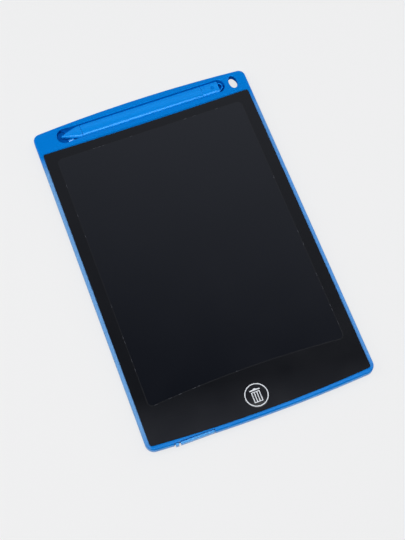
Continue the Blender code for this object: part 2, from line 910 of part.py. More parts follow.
def rounded_section(x, half, low, high, run, top_drop, foot_drop):
    """Section across the stylus at one place along it: a flat bar with softly rounded edges."""
    points = []
    corners = (
        (half - run, high - top_drop, top_drop, 0),
        (run - half, high - top_drop, top_drop, 1),
        (run - half, low + foot_drop, foot_drop, 2),
        (half - run, low + foot_drop, foot_drop, 3),
    )
    for y, z, drop, quarter in corners:
        start = quarter * math.pi / 2
        for across, up in arc(0, 0, 1, start, start + math.pi / 2, round_steps):
            points.append((x, stylus_y + y + run * across, z + drop * up))
    return points


def stylus_section(x, share=1.0, inset=0.0):
    """Outer section of the stylus, shrunk towards its middle by a share, or all round by an inset."""
    middle = (stylus_low + stylus_high) / 2
    reach = ((stylus_high - stylus_low) / 2 - inset) * share
    run = (stylus_width - stylus_flat) / 2
    return rounded_section(
        x, (stylus_width / 2 - inset) * share, middle - reach, middle + reach,
        run * share, stylus_edge_drop * share, stylus_foot_drop * share,
    )


def stylus_core(x, clearance=0.0):
    """Section of the barrel's bore, or of a spigot that enters it with some clearance."""
    return rounded_section(
        x, stylus_flat / 2 - clearance, stylus_low + stylus_wall + clearance,
        stylus_high - stylus_wall - clearance, core_corner, core_corner, core_corner,
    )


def stylus():
    middle_z = (stylus_low + stylus_high) / 2
    barrel_left = stylus_left + tip_length
    barrel_right = stylus_right - cap_length
    barrel = loft(
        "stylus_barrel", [stylus_section(barrel_left), stylus_section(barrel_right)], STYLUS_ABS
    )
    bore = [stylus_core(barrel_left - overrun), stylus_core(barrel_right + overrun)]
    cut(barrel, loft("barrel_bore_cutter", bore))

    cone_left = stylus_left + nib_length
    collar_left = barrel_left - seam - collar_length
    tip_end = barrel_left - seam
    cone_share = cone_end / (stylus_width / 2)
    loops = []
    for i in range(cone_steps):
        along = i / cone_steps
        fullness = along * (1 + cone_bulge_share * (1 - along))
        loops.append(stylus_section(
            cone_left + (collar_left - cone_left) * along, cone_share + (1 - cone_share) * fullness
        ))
    loops += [
        stylus_section(collar_left),
        stylus_section(tip_end),
        stylus_core(tip_end, spigot_clearance),
        stylus_core(tip_end + spigot_length, spigot_clearance),
    ]
    tip = loft("stylus_tip", loops, STYLUS_ABS)
    nib = []
    for reach_share, radius_share in NIB_PROFILE_SHARES:
        ring = circle(stylus_y, middle_z, nib_radius * radius_share, small_circle_steps)
        nib.append([(stylus_left + nib_length * reach_share, y, z) for y, z in ring])
    join(tip, loft("nib", nib))

    cap_left = barrel_right + seam
    loops = [
        stylus_core(cap_left - spigot_length, spigot_clearance),
        stylus_core(cap_left, spigot_clearance),
        stylus_section(cap_left),
        stylus_section(cap_left + cap_ring_offset),
        stylus_section(cap_left + cap_ring_offset, inset=ring_depth),
        stylus_section(cap_left + cap_ring_offset + ring_width, inset=ring_depth),
        stylus_section(cap_left + cap_ring_offset + ring_width),
        stylus_section(stylus_right),
    ]
    cap = loft("stylus_end_cap", loops, STYLUS_ABS)
    dimple = circle(stylus_right - dimple_inset, stylus_y, dimple_radius, small_circle_steps)
    cut(cap, prism("dimple_cutter", dimple, stylus_high - dimple_depth, stylus_high + overrun))
    eyelet_top = stylus_high - eyelet_drop
    loop = arc(stylus_right, stylus_y, eyelet_radius, -math.pi / 2, math.pi / 2, 2 * corner_steps)
    loop += [
        (stylus_right - eyelet_root, stylus_y + eyelet_radius),
        (stylus_right - eyelet_root, stylus_y - eyelet_radius),
    ]
    join(cap, prism("eyelet", loop, eyelet_top - eyelet_height, eyelet_top))
    hole_radius = eyelet_radius - eyelet_wall
    hole = arc(stylus_right, stylus_y, hole_radius, -math.pi / 2, math.pi / 2, 2 * corner_steps)
    cut(cap, prism("eyelet_cutter", hole, eyelet_top - eyelet_height - overrun, eyelet_top + overrun))


def settle():
    """Makes each shape's cuts and joins final, shades it smooth up to its edges, and clears the cutters."""
    bpy.context.view_layer.update()
    graph = bpy.context.evaluated_depsgraph_get()
    shapes = [obj for obj in bpy.data.objects if not obj.hide_render]
    for obj in shapes:
        mesh = bpy.data.meshes.new_from_object(obj.evaluated_get(graph))
        mesh.name = obj.name
        mesh.shade_smooth()
        mesh.set_sharp_from_angle(angle=math.radians(smooth_angle))
        obj.modifiers.clear()
        obj.data = mesh
    for obj in list(bpy.data.objects):
        if obj not in shapes:
            bpy.data.objects.remove(obj)


def carry(name, place, pieces, carrier=None):
    """Hangs the pieces that move together on an empty that stands on their joint's axis."""
    pivot = bpy.data.objects.new(name, None)
    bpy.context.scene.collection.objects.link(pivot)
    place = Vector(place)
    pivot.location = place
    if carrier:
        pivot.parent = carrier
        pivot.location = place - carrier.location
    for piece in pieces:
        obj = bpy.data.objects[piece]
        obj.data.transform(Matrix.Translation(-place))
        obj.parent = pivot
    return pivot


def moving_bodies():
    carry("button_axis", (button_x, button_y, film_top), ("erase_button", "switch_plunger"))
    carry(
        "stylus_axis", ((stylus_left + stylus_right) / 2, stylus_y, stylus_low),
        ("stylus_barrel", "stylus_tip", "stylus_end_cap"),
    )
    tray_axis = carry(
        "tray_axis", (tray_x, lip_face_y, tray_low),
        ("battery_tray", "cell_can", "cell_gasket", "cell_cap"),
    )
    carry("latch_axis", ((arm_left + arm_right) / 2, arm_root_y, tray_low), ("tray_latch",), tray_axis)


def main():
    for obj in list(bpy.data.objects):
        bpy.data.objects.remove(obj)
    front_frame()
    back_cover()
    sheets()
    lcd_tail()
    circuit_board()
    board_screws()
    battery_contacts()
    coin_cell()
    battery_tray()
    tray_latch()
    erase_button()
    stylus()
    settle()
    moving_bodies()


main()
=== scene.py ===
import math

import bmesh
import bpy
from mathutils import Matrix, Vector, geometry


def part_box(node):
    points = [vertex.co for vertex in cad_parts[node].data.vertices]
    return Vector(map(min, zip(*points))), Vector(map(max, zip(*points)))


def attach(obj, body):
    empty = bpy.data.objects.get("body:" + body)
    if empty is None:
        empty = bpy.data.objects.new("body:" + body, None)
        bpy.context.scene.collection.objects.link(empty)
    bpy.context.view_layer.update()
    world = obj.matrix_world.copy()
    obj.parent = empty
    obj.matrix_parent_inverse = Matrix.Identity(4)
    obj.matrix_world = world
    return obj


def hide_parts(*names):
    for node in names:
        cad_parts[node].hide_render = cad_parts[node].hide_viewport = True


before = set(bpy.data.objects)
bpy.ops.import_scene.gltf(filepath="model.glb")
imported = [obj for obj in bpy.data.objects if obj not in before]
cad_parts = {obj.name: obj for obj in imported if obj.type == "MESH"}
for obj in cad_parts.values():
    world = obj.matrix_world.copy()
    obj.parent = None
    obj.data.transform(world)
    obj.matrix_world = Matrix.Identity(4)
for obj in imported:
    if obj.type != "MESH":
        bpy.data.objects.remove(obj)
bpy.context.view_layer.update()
collection = bpy.context.scene.collection

MM = 0.001
MERGE = 0.000001

# Angles below which faces are shaded as one or joined as flat, and above which an edge is rounded
smooth_angle = math.radians(35)
flat_angle = math.radians(0.6)
sharp_angle = math.radians(40)

# Where the case is painted paler, as a painted sheen of the lamps on its rims and painted light on
# the wall of its foot: each changes between two places, by the shares that follow
side_sheen = (0.0694, 0.0704)
side_sheen_stretch = (0.093, 0.080)
side_sheen_corner = (-0.111, -0.097)
side_sheen_breadth = (-0.060, 0.060)
foot_rim_sheen = (-0.108, -0.110)
foot_rim_sheen_face = (0.0048, 0.00497)
foot_wall_light = (0.0047, 0.0041)
corner_sheen_share = 0.3
right_sheen_share = 0.6
face_sheen_share = 0.14
wall_light_share = 0.5

# Wipe marks on moulded plastic, 25 mm long and 1.1 mm apart
wipe_turn = (0, 0, 0.5)
wipe_scale = (40, 900, 40)

# Painted reflection at the foot of the screen, paler along a direction that leans to the left
screen_sheen_way = (0.15, 1, 0)
screen_sheen_start = -0.088
screen_sheen_full = -0.115

# Side rims of the front frame: the outer edge rolls over in one wide round
rim_roll_start = 0.0011
rim_roll_width = 0.00175
rim_roll_low = 0.0038
rim_roll_full = 0.0945
rim_roll_end = 0.104

# Groove, finger well and lanyard hole, where the tool was eroded more coarsely, and a darker blue
# paints the shade in them
groove_left = -0.060
groove_right = 0.059
groove_front = 0.0975
groove_back = 0.1095
groove_depth = 0.0002
lanyard_reach_x = 0.0031
lanyard_reach_y = 0.0052
lanyard_centre = (0.0629, 0.1030)
lanyard_half = 0.0048
lanyard_lift = 0.0006
lanyard_flare = 0.0005
lanyard_flare_high = 0.001

# Polished rest beside the pointed end of the stylus, from the groove's floor up
rest_left = -0.0514
rest_right = -0.0479
rest_front = 0.0984
rest_back = 0.1001
rest_foot = 0.0018
rest_low = 0.0040
rest_high = 0.0046

# Print and window on the cover film, from the middle of the case
window_left = -0.0625
window_right = 0.0623
window_top = 0.0883
window_bottom = -0.0850
window_bow = 0.0027
window_corner = 0.0030
window_line = 0.00035
corner_steps = 12
bow_steps = 24
film_hole_radius = 0.00796
film_hole_steps = 96
# Pale dashes along the window's edge, painted glints of light
glint_length = 0.0019
glint_width = 0.00012
glint_height = 0.00001
glint_pitch = 0.0031
glint_share = 0.22
glint_seed = 7

# Erase symbol, from the middle of the button
print_height = 0.00002
ring_radius = 0.00693
ring_width = 0.00058
ring_steps = 128
lid_width = 0.0066
lid_edge = 0.00062
lid_height = 0.00085
lid_knob_width = 0.0022
lid_knob_height = 0.00045
lid_low = 0.0029
bin_width = 0.0054
bin_top = 0.0022
bin_foot = -0.0045
bin_rail = 0.0005
rail_height_share = 0.9
stave_width = 0.00056
stave_count = 4

# Stylus
stylus_seam = 0.0003
shown_seam = 0.00016
stylus_facets = 96
crown_side = 2.3
crown_rise = 1.4
crown_level = 0.0002
foot_side = 5.0
foot_rise = 2.2
end_ease = 0.00018
end_steps = 4
nib_length = 0.0022
nib_radius = 0.00105
nib_root = 0.00145
nib_step = 0.00015
nib_rings = 7
nib_first_share = 0.35
cone_rings = 40
cone_bulge = 0.3
cone_round_power = 0.5
collar_length = 0.0019
spigot_inset = 0.0008
spigot_length = 0.002
cap_ring_offset = 0.0019
cap_ring_profile = (
    (0, 0), (0.00006, 0.0001), (0.00012, 0.00014), (0.00018, 0.00014), (0.00024, 0.0001),
    (0.0003, 0))
dimple_inset = 0.0043
dimple_radius = 0.00125
dimple_depth = 0.00042
dimple_reach_share = 1.1
dimple_steps = 28
cap_crown = 0.001
eyelet_radius = 0.003
eyelet_wall = 0.0008
eyelet_low = 0.003
eyelet_height = 0.0012
eyelet_root = 0.0006
eyelet_round = 0.00036
eyelet_steps = 40
eyelet_round_steps = 4

# Rounds on the edges of tray, latch, coin cell and button
lip_round = 0.0007
lip_round_steps = 5
small_round = 0.0001
small_round_steps = 2
cell_round = 0.00012

# Leads of the driver chip; the shares of their reach are root, knee, heel and toe
lead_count = 4
lead_pitch = 0.0011
lead_width = 0.0004
lead_thickness = 0.00012
lead_reach = 0.0006
lead_shares = (-0.2, 0.3, 0.5, 1)

# Table top, which is one even tone far from the tablet, and shaded a little near it
backdrop = "#efefef"
floor_half = 3
floor_near = 0.25
floor_far = 0.9
floor_near_share = 0.8

# Ceiling of the studio, by direction from the tablet: its lit band, and where it begins
band_way = (0.4, 0.9, 0)
band_near = 0.28
band_far = 0.84
ceiling_low = 0.1
ceiling_full = 0.4
ceiling_dim = "#4d525e"
ceiling_lit = "#d6dbe8"


# Nodes

def hex_linear(code):
    """Linear colour of an sRGB hex value."""
    shares = [int(code[i:i + 2], 16) / 255 for i in (1, 3, 5)]
    return [s / 12.92 if s <= 0.04045 else ((s + 0.055) / 1.055) ** 2.4 for s in shares] + [1]


def add_node(tree, kind, inputs=(), **settings):
    """Adds a node with its settings; inputs maps a socket to a value or to an output to link."""
    node = tree.nodes.new(kind)
    for name, value in settings.items():
        setattr(node, name, value)
    for socket, value in dict(inputs).items():
        if isinstance(value, bpy.types.NodeSocket):
            tree.links.new(value, node.inputs[socket])
        else:
            node.inputs[socket].default_value = value
    return node


# Materials

def new_material(name):
    """Empty material, its node tree and the place on the piece, which its patterns follow."""
    made = bpy.data.materials.new(name)
    made.use_nodes = True
    made.node_tree.nodes.clear()
    place = add_node(made.node_tree, "ShaderNodeTexCoord").outputs["Object"]
    return made, made.node_tree, place


def close_material(made, colours, mottle, reliefs, inputs, roughness, shine=None):
    """Ends a material: two colours mixed by a pattern, a chain of bumps, and the shader's inputs.

    Each relief is a pattern, its strength and its height. A shine is a pattern, where it begins and
    ends to count, and how far the roughness falls and rises with it.
    """
    tree = made.node_tree
    tint = add_node(tree, "ShaderNodeMix", {
        "Factor": mottle.outputs["Fac"], "A": hex_linear(colours[1]), "B": hex_linear(colours[0])},
        data_type="RGBA")
    inputs = {**inputs, "Base Color": tint.outputs["Result"], "Roughness": roughness}
    if shine:
        pattern, begin, end, fall, rise = shine
        spread = add_node(tree, "ShaderNodeMapRange", {
            "Value": pattern.outputs["Fac"], "From Min": begin, "From Max": end,
            "To Min": roughness - fall, "To Max": roughness + rise})
        inputs["Roughness"] = spread.outputs["Result"]
    below = {}
    for pattern, strength, height in reliefs:
        bump = add_node(tree, "ShaderNodeBump", {
            "Height": pattern.outputs["Fac"], "Strength": strength, "Distance": height, **below})
        below = {"Normal": bump.outputs["Normal"]}
    shader = add_node(tree, "ShaderNodeBsdfPrincipled", {**inputs, **below})
    add_node(tree, "ShaderNodeOutputMaterial", {"Surface": shader.outputs["BSDF"]})
    return made


def moulded_abs(name, colour, deep_colour, roughness, grain, sheen_tint, sheen=0.5):
    """ABS moulded in a spark-eroded tool: a satin blue skin, with a slow swirl where the melt ran.

    The grain is 0.1 mm on the real part, and is drawn at three times that so that it shows. The
    pigment near the surface takes the red out of its reflections, which the sheen tint gives.
    """
    made, tree, place = new_material(name)
    flow = add_node(tree, "ShaderNodeTexNoise", {
        "Vector": place, "Scale": 1 / (22 * MM), "Detail": 3, "Roughness": 0.5, "Distortion": 0.6})
    spark = add_node(tree, "ShaderNodeTexNoise", {
        "Vector": place, "Scale": 1 / (0.3 * MM), "Detail": 2, "Roughness": 0.6})
    turned = add_node(tree, "ShaderNodeMapping", {
        "Vector": place, "Rotation": wipe_turn, "Scale": wipe_scale})
    wipes = add_node(tree, "ShaderNodeTexNoise", {
        "Vector": turned.outputs["Vector"], "Scale": 1, "Detail": 4, "Roughness": 0.7})
    return close_material(
        made, (colour, deep_colour), flow, ((spark, grain, 0.02 * MM), (flow, 0.25, 0.12 * MM)),
        {"IOR": 1.53, "Specular IOR Level": sheen, "Specular Tint": hex_linear(sheen_tint)},
        roughness, (wipes, 0.3, 0.75, 0.04, 0.06))


def mix_over(made, share, colour):
    """Lays a colour over a material's base colour, by a share that changes from place to place."""
    tree = made.node_tree
    base = tree.nodes["Principled BSDF"].inputs["Base Color"]
    mixed = add_node(tree, "ShaderNodeMix", {
        "Factor": share, "A": base.links[0].from_socket, "B": hex_linear(colour)},
        data_type="RGBA")
    tree.links.new(mixed.outputs["Result"], base)


def paint_rim_sheen(made, colour, foot_colour):
    """Makes a material paler along the side rims of the case as a painted sheen of the lamps, and
    on the wall of its foot as painted light.

    Each line of the first table is a share that changes along a direction: between two places it
    goes from one value to another. Each line of the second is one Math node of two shares.
    """
    tree = made.node_tree
    place = add_node(tree, "ShaderNodeTexCoord").outputs["Object"]
    along = add_node(tree, "ShaderNodeSeparateXYZ", {"Vector": place}).outputs
    away = add_node(tree, "ShaderNodeMath", {0: along["X"]}, operation="ABSOLUTE").outputs[0]
    shares = {}
    for name, direction, (start, end), (low, high) in (
        ("side", away, side_sheen, (0, 1)),
        ("breadth", along["X"], side_sheen_breadth, (1, right_sheen_share)),
        ("stretch", along["Y"], side_sheen_stretch, (0, 1)),
        ("corner", along["Y"], side_sheen_corner, (corner_sheen_share, 1)),
        ("foot", along["Y"], foot_rim_sheen, (0, 1)),
        ("face", along["Z"], foot_rim_sheen_face, (0, face_sheen_share)),
        ("wall", along["Z"], foot_wall_light, (0, wall_light_share)),
    ):
        shares[name] = add_node(tree, "ShaderNodeMapRange", {
            "Value": direction, "From Min": start, "From Max": end,
            "To Min": low, "To Max": high}).outputs["Result"]
    for name, operation, first, second in (
        ("evened side", "MULTIPLY", "side", "breadth"),
        ("faded side", "MULTIPLY", "evened side", "stretch"),
        ("whole side", "MULTIPLY", "faded side", "corner"),
        ("foot face", "MULTIPLY", "foot", "face"),
        ("foot wall", "MULTIPLY", "foot", "wall"),
        ("rims", "MAXIMUM", "whole side", "foot face"),
    ):
        shares[name] = add_node(tree, "ShaderNodeMath", {
            0: shares[first], 1: shares[second]}, operation=operation).outputs[0]
    mix_over(made, shares["rims"], colour)
    mix_over(made, shares["foot wall"], foot_colour)


def paint_screen_sheen(made, colour):
    """Makes a material paler towards the foot of the case, most at the left, as a painted
    reflection.
    """
    tree = made.node_tree
    place = add_node(tree, "ShaderNodeTexCoord").outputs["Object"]
    toward = add_node(tree, "ShaderNodeVectorMath", {
        0: place, 1: screen_sheen_way}, operation="DOT_PRODUCT")
    share = add_node(tree, "ShaderNodeMapRange", {
        "Value": toward.outputs["Value"], "From Min": screen_sheen_start, "From Max": screen_sheen_full})
    mix_over(made, share.outputs["Result"], colour)


def coated_film(name, colour, deep_colour, roughness, cloud_size, ior):
    """Polyester film with a hard anti-glare coat: deep black, a soft sheen and faint clouds."""
    made, tree, place = new_material(name)
    cloud = add_node(tree, "ShaderNodeTexNoise", {
        "Vector": place, "Scale": 1 / cloud_size, "Detail": 2, "Roughness": 0.5})
    grit = add_node(tree, "ShaderNodeTexNoise", {
        "Vector": place, "Scale": 1 / (0.35 * MM), "Detail": 2, "Roughness": 0.6})
    return close_material(
        made, (colour, deep_colour), cloud, ((grit, 0.05, 0.01 * MM), (cloud, 0.2, 0.04 * MM)),
        {"IOR": ior}, roughness, (cloud, 0.3, 0.7, 0.03, 0.03))


def plated_steel(name, colour, dull_colour, roughness, line_width, turned_about=None):
    """Nickel-plated steel with the fine lines of its making, straight or round a middle.

    The lines are finer on the real part, and are drawn wide enough to stretch its reflections.
    """
    made, tree, place = new_material(name)
    if turned_about:
        centred = add_node(tree, "ShaderNodeMapping", {
            "Vector": place, "Location": [-c / line_width for c in turned_about],
            "Scale": (1 / line_width,) * 3})
        lines = add_node(tree, "ShaderNodeTexWave", {
            "Vector": centred.outputs["Vector"], "Scale": 1 / (2 * math.pi), "Distortion": 1.5,
            "Detail": 2}, wave_type="RINGS", rings_direction="Z")
    else:
        drawn = add_node(tree, "ShaderNodeMapping", {
            "Vector": place, "Scale": (1 / (4 * MM), 1 / line_width, 1 / line_width)})
        lines = add_node(tree, "ShaderNodeTexNoise", {
            "Vector": drawn.outputs["Vector"], "Scale": 1, "Detail": 3, "Roughness": 0.6})
    haze = add_node(tree, "ShaderNodeTexNoise", {
        "Vector": place, "Scale": 1 / (3 * MM), "Detail": 2})
    return close_material(
        made, (colour, dull_colour), haze, ((lines, 0.15, 0.01 * MM),), {"Metallic": 1},
        roughness, (lines, 0.3, 0.7, 0.06, 0.08))


def speckled(name, colour, second_colour, roughness, size, ior, relief):
    """A plain technical surface with the mottle of its filler, mesh or resin at the given size."""
    made, tree, place = new_material(name)
    mottle = add_node(tree, "ShaderNodeTexNoise", {
        "Vector": place, "Scale": 1 / size, "Detail": 3, "Roughness": 0.6})
    return close_material(
        made, (colour, second_colour), mottle, ((mottle, relief, 0.02 * MM),), {"IOR": ior},
        roughness)


cell_low, cell_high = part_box("cell_can")
cell_middle = tuple((cell_low + cell_high) / 2)

# Satin blue shell, painted paler along its rims as a sheen of the lamps; its coarse recesses,
# painted darker as shade; a spot painted pale as a highlight where the light catches it
case_abs = moulded_abs("moulded_abs_case_blue", "#0079d1", "#0073c9", 0.30, 0.2, "#2a9cff")
# Painted sheen on the rims and painted light on the foot wall
paint_rim_sheen(case_abs, "#6b9ccd", "#38b4ff")
# Coarser recesses, whose darker blue is painted shade
recess_shade_abs = moulded_abs(
    "moulded_abs_coarse_recess_painted_shade", "#0060bb", "#005ab2", 0.55, 0.5, "#5cb2ff", 0)
# Paler blue of the rest, a painted highlight
lit_rest_abs = moulded_abs("moulded_abs_polished_painted_highlight", "#2a96ec", "#2490e6", 0.16, 0.03, "#ffffff")
# Lighter and glossier blue of the stylus, and the paler one of the tray and its latch, which also
# paints the light on their fronts
stylus_abs = moulded_abs("moulded_abs_stylus_blue", "#0389e4", "#0284de", 0.23, 0.05, "#66b2ff", 1)
tray_lit_abs = moulded_abs("moulded_abs_tray_blue_painted_light", "#52a6ec", "#479fe6", 0.26, 0.1, "#b4dcff")
# Black print under the film, and the dark liquid crystal that shows through it
border_film = coated_film("printed_border_film", "#0b0c10", "#090a0d", 0.17, 30 * MM, 1.41)
# The border's paler foot is a painted reflection
paint_screen_sheen(border_film, "#202125")
window_film = coated_film("liquid_crystal_film_dark", "#080a11", "#06080e", 0.12, 45 * MM, 1.5)
# Sealant round the liquid crystal: a hairline, and pale dashes along it that are painted glints
edge_seal = speckled("liquid_crystal_edge_seal", "#0f1013", "#0a0b0d", 0.25, 6 * MM, 1.5, 0.1)
seal_glint = speckled("edge_seal_glint", "#606269", "#3c3e43", 0.3, 2 * MM, 1.5, 0.1)
# Screen-printed ink: matt and pale grey, a little thin where the mesh lifted
white_ink = speckled("screen_printed_ink", "#e1e4e7", "#d0d3d8", 0.5, 0.4 * MM, 1.5, 0.1)
# Bright metal of the contacts, screws and chip leads, and the turned steel of the coin cell
bright_steel = plated_steel("nickel_plated_steel", "#c6c6c1", "#a9a9a4", 0.26, 0.12 * MM)
turned_steel = plated_steel(
    "turned_nickel_steel", "#cfcfca", "#b4b4af", 0.24, 0.35 * MM, cell_middle)
# Small parts inside: off-white nylon, amber flex, green board, black epoxy, tan ceramic
nylon = speckled("natural_nylon", "#dcdad2", "#cfccc2", 0.45, 0.8 * MM, 1.53, 0.1)
polyimide = speckled("polyimide_flex", "#b46a1e", "#9c5414", 0.35, 1.2 * MM, 1.7, 0.05)
solder_mask = speckled("green_solder_mask", "#16663a", "#0f5630", 0.3, 0.5 * MM, 1.55, 0.25)
epoxy = speckled("moulded_epoxy", "#262629", "#1c1c1f", 0.5, 0.15 * MM, 1.55, 0.3)
ceramic = speckled("barium_titanate_ceramic", "#b09372", "#9d8062", 0.45, 0.2 * MM, 1.6, 0.15)
# White foam tape behind the screen, and the grey seal of the coin cell
white_tape = speckled("foam_tape_white", "#dddcd6", "#d0cfc8", 0.75, 0.3 * MM, 1.45, 0.3)
seal_ring = speckled("polypropylene_seal", "#7d7e80", "#6c6d70", 0.5, 0.3 * MM, 1.49, 0.1)


# Making pieces

def to_mesh(name, bm):
    """Mesh of a bmesh, which is used up."""
    mesh = bpy.data.meshes.new(name)
    bm.to_mesh(mesh)
    bm.free()
    return mesh


def merged(mesh):
    """Bmesh of a mesh, which itself is left alone, with its doubles merged."""
    bm = bmesh.new()
    bm.from_mesh(mesh)
    bmesh.ops.remove_doubles(bm, verts=bm.verts, dist=MERGE)
    return bm


def new_piece(name, bm, looks, body, slot, *nodes):
    """Turns a bmesh into a finished piece that rides on a body and may stand for CAD nodes."""
    mesh = to_mesh(name, bm)
    for look in looks:
        mesh.materials.append(look)
    mesh.shade_smooth()
    mesh.set_sharp_from_angle(angle=smooth_angle)
    obj = bpy.data.objects.new(name, mesh)
    collection.objects.link(obj)
    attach(obj, body)
    if nodes:
        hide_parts(*nodes)


def node_copy(node):
    """Copy of a CAD node's mesh with its flat faces joined."""
    bm = merged(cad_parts[node].data)
    bmesh.ops.dissolve_limit(bm, angle_limit=flat_angle, verts=bm.verts, edges=bm.edges)
    for face in bm.faces:
        face.material_index = 0
    return bm


def round_edges(bm, edges, radius, segments):
    """Rounds edges off by a radius, in a number of flat steps."""
    bmesh.ops.bevel(bm, geom=edges, offset=radius, offset_type="OFFSET", segments=segments,
                    profile=0.5, affect="EDGES", clamp_overlap=True)


def sharp_edges(bm):
    """Edges whose two faces turn by more than the sharp angle."""
    return [e for e in bm.edges if e.is_manifold and e.calc_face_angle() > sharp_angle]


def rounded_copy(node, look, body, slot, radius):
    """Copy of a CAD node with all its sharp edges broken by a small round."""
    bm = node_copy(node)
    round_edges(bm, sharp_edges(bm), radius, small_round_steps)
    new_piece(node + "_skin", bm, [look], body, slot, node)


def arc(centre_x, centre_y, radius, start, end, steps):
    """Points along an arc, its two ends among them."""
    angles = [start + (end - start) * i / steps for i in range(steps + 1)]
    return [(centre_x + radius * math.cos(a), centre_y + radius * math.sin(a)) for a in angles]


def circle(x, y, radius, steps):
    """Points round a full circle, each of them once."""
    return arc(x, y, radius, 0, 2 * math.pi, steps)[:-1]


def inside(point, loop):
    """Whether a point lies inside a closed loop."""
    x, y = point
    hit = False
    for (x0, y0), (x1, y1) in zip(loop, loop[1:] + loop[:1]):
        if (y0 > y) != (y1 > y) and x < x0 + (y - y0) * (x1 - x0) / (y1 - y0):
            hit = not hit
    return hit


def add_plate(bm, loops, low, high, zone_of):
    """Closed flat plate over nested loops.

    zone_of takes the list that says which loops a face lies inside, and gives the material index
    of its top, or None where there is no plate.
    """
    points, edges = [], []
    for loop in loops:
        first = len(points)
        points += [Vector(p) for p in loop]
        edges += [(first + i, first + (i + 1) % len(loop)) for i in range(len(loop))]
    flat, _, faces, _, _, _ = geometry.delaunay_2d_cdt(points, edges, [], 0, MERGE / 10)
    top = [bm.verts.new((p.x, p.y, high)) for p in flat]
    bottom = [bm.verts.new((p.x, p.y, low)) for p in flat]
    used = set()
    for face in faces:
        middle = sum((flat[i] for i in face), Vector((0, 0))) / len(face)
        zone = zone_of([inside(middle, loop) for loop in loops])
        if zone is None:
            continue
        area = sum(flat[face[i - 1]].cross(flat[face[i]]) for i in range(len(face)))
        ring = list(face) if area > 0 else list(reversed(face))
        bm.faces.new([top[i] for i in ring]).material_index = zone
        bm.faces.new([bottom[i] for i in reversed(ring)])
        used.update(zip(ring, ring[1:] + ring[:1]))
    for i, j in used:
        if (j, i) not in used:
            bm.faces.new((top[j], top[i], bottom[i], bottom[j]))
    bmesh.ops.delete(bm, geom=[v for v in bm.verts if not v.link_faces], context="VERTS")


def add_loft(bm, rings):
    """Skins closed rings of equal length, and caps the first and the last."""
    made = [[bm.verts.new(p) for p in ring] for ring in rings]
    count = len(made[0])
    for near, far in zip(made, made[1:]):
        for i in range(count):
            j = (i + 1) % count
            bm.faces.new((near[i], near[j], far[j], far[i]))
    bm.faces.new(list(reversed(made[0])))
    bm.faces.new(made[-1])


# Geometry Nodes

def new_tree(name, sizes):
    """Geometry Nodes tree with a named input for each size; returns it and its inputs."""
    tree = bpy.data.node_groups.new(name, "GeometryNodeTree")
    tree.interface.new_socket("Geometry", in_out="INPUT", socket_type="NodeSocketGeometry")
    tree.interface.new_socket("Geometry", in_out="OUTPUT", socket_type="NodeSocketGeometry")
    for size, kind in sizes.items():
        tree.interface.new_socket(size, in_out="INPUT", socket_type="NodeSocket" + kind)
    return tree, add_node(tree, "NodeGroupInput").outputs


def close_tree(tree, shape, look):
    """Ends a tree with its instances made real and its material set."""
    real = add_node(tree, "GeometryNodeRealizeInstances", {"Geometry": shape})
    dressed = add_node(tree, "GeometryNodeSetMaterial", {
        "Geometry": real.outputs["Geometry"], "Material": look})
    add_node(tree, "NodeGroupOutput", {"Geometry": dressed.outputs["Geometry"]})
    return tree


def run_tree(tree, start, values):
    """Result of a tree on a start mesh, as a bmesh whose closed parts face outwards."""
    source = bpy.data.objects.new(tree.name + "_start", start)
    collection.objects.link(source)
    modifier = source.modifiers.new(tree.name, "NODES")
    modifier.node_group = tree
    for item in tree.interface.items_tree:
        if item.in_out == "INPUT" and item.name in values:
            modifier[item.identifier] = values[item.name]
    result = bpy.data.meshes.new_from_object(
        source.evaluated_get(bpy.context.evaluated_depsgraph_get()))
    source.modifiers.clear()
    bm = merged(result)
    bmesh.ops.recalc_face_normals(bm, faces=bm.faces)
    bpy.data.objects.remove(source)
    bpy.data.meshes.remove(result)
    return bm


def start_mesh(name, points, edges=(), faces=()):
    """Plain mesh of points, with the edges or faces between them."""
    mesh = bpy.data.meshes.new(name)
    mesh.from_pydata(points, edges, faces)
    return mesh


def row_tree(look):
    """Repeats the start mesh along a straight line."""
    tree, size = new_tree("row_of_" + look.name, {"Count": "Int", "Pitch": "Vector"})
    line = add_node(tree, "GeometryNodeMeshLine", {
        "Count": size["Count"], "Offset": size["Pitch"]}, mode="OFFSET")
    placed = add_node(tree, "GeometryNodeInstanceOnPoints", {
        "Points": line.outputs["Mesh"], "Instance": size["Geometry"]})
    return close_tree(tree, placed.outputs["Instances"], look)


def band_tree(look):
    """Sweeps a flat band along the start mesh's edges."""
    tree, size = new_tree("band_of_" + look.name, {"Width": "Float", "Height": "Float"})
    path = add_node(tree, "GeometryNodeMeshToCurve", {"Mesh": size["Geometry"]})
    section = add_node(tree, "GeometryNodeCurvePrimitiveQuadrilateral", {
        "Width": size["Width"], "Height": size["Height"]})
    band = add_node(tree, "GeometryNodeCurveToMesh", {
        "Curve": path.outputs["Curve"], "Profile Curve": section.outputs["Curve"],
        "Fill Caps": True})
    return close_tree(tree, band.outputs["Mesh"], look)


